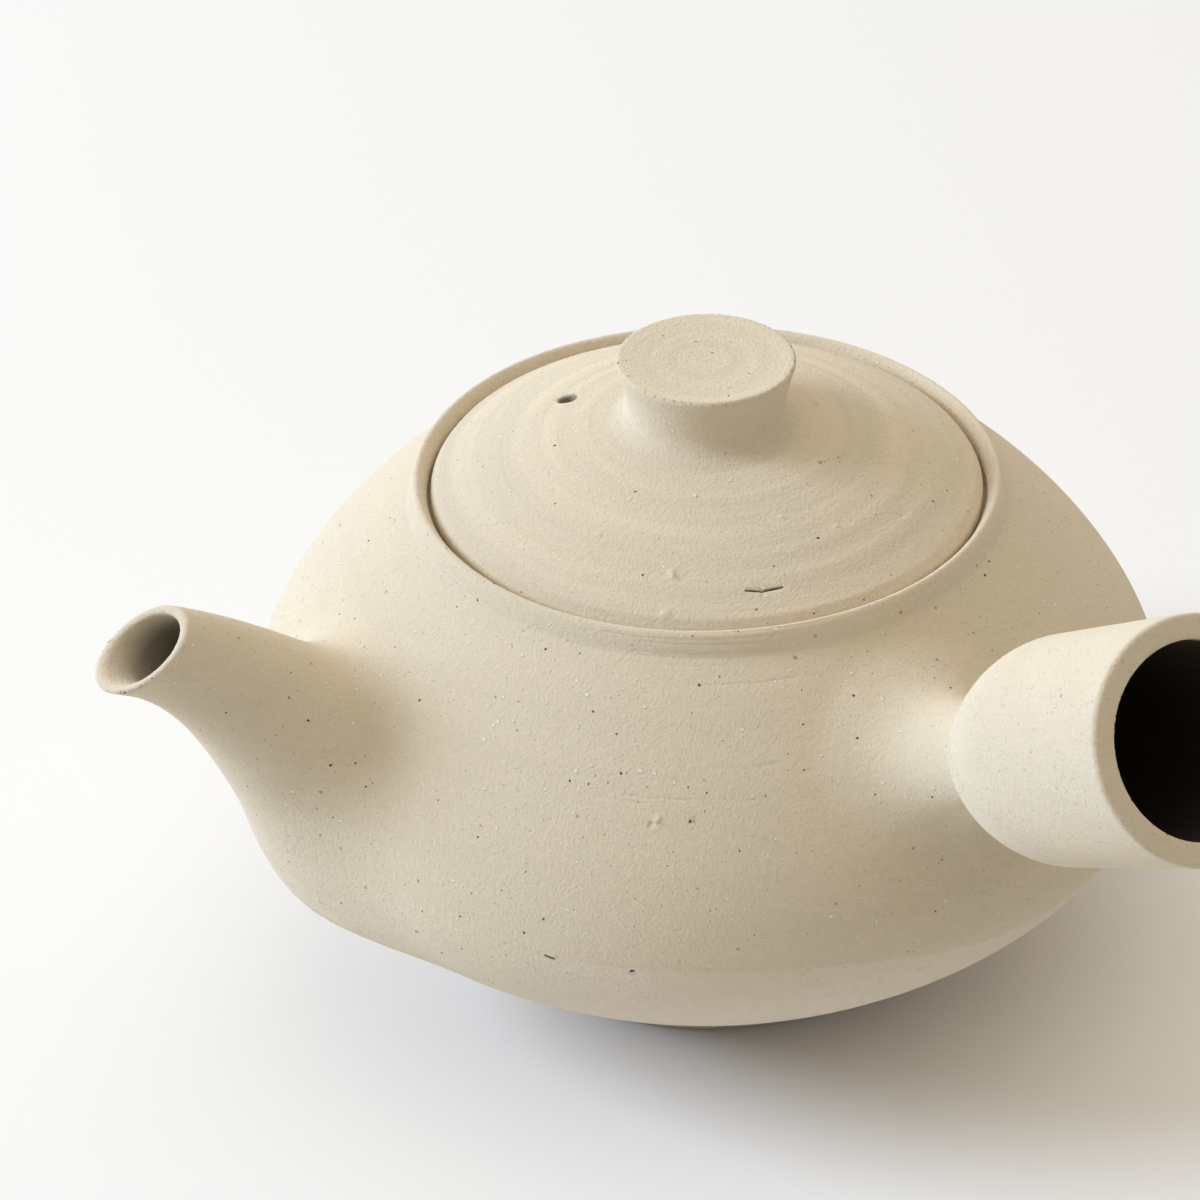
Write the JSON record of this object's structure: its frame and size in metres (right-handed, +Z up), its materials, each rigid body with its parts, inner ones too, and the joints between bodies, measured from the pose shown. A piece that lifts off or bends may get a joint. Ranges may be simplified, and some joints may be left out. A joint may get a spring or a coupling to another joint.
{
  "type": "side-handled teapot",
  "caption": "Low round teapot of unglazed stoneware with a tapering spout, a hollow side handle and a lift-off domed lid with a knob.",
  "frame": {"origin": "middle of the flat base that the pot stands on", "axes": "+Z up along the pot's turning axis, -X along the spout, the handle 84 degrees round from +X towards -Y"},
  "size_m": [0.154, 0.1784, 0.1003],
  "materials": {
    "pot_stoneware": "matte",
    "lid_stoneware": "matte"
  },
  "bodies": {
    "pot": {"pot_body": "pot_stoneware", "spout": "pot_stoneware", "handle": "pot_stoneware", "strainer": "pot_stoneware"},
    "lid": {"lid": "lid_stoneware", "lid_knob": "lid_stoneware"}
  },
  "joints": [
    {"name": "lid_lift", "type": "slide", "parent": "pot", "child": "lid", "axis": [0, 0, 1], "range_m": [0, 0.05]}
  ]
}
